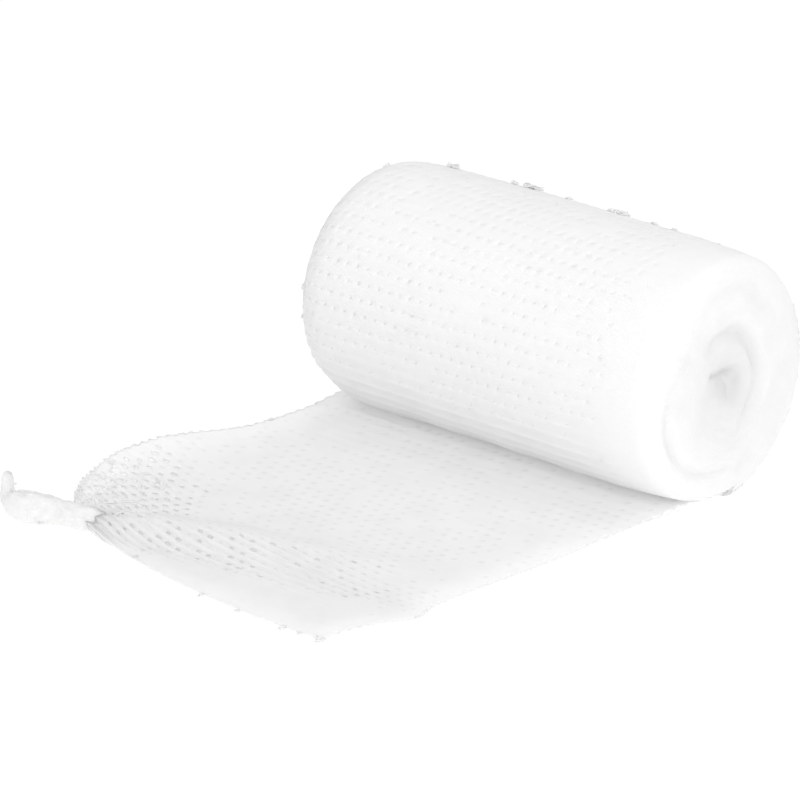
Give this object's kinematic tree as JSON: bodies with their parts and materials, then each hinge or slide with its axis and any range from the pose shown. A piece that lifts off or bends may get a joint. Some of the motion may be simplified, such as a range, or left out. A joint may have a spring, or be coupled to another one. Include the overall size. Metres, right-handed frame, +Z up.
{
  "type": "gauze bandage roll",
  "caption": "Open-weave gauze bandage wound into a soft roll on its side, its loose end laid out flat with a gathered, twisted corner.",
  "frame": {"origin": "on the surface that the roll lies on, under the middle of the roll, on the flat underside of the strip", "axes": "+X along the roll's axis towards its coiled end face, -Y the way the loose end runs out, +Z up"},
  "size_m": [0.0864, 0.0967, 0.0406],
  "materials": {
    "wound_gauze": "matt bleached cotton gauze, wound",
    "loose_gauze": "matt bleached cotton gauze, one open layer"
  },
  "bodies": {
    "root": {"wound_roll": "wound_gauze", "loose_end": "loose_gauze"}
  },
  "joints": []
}
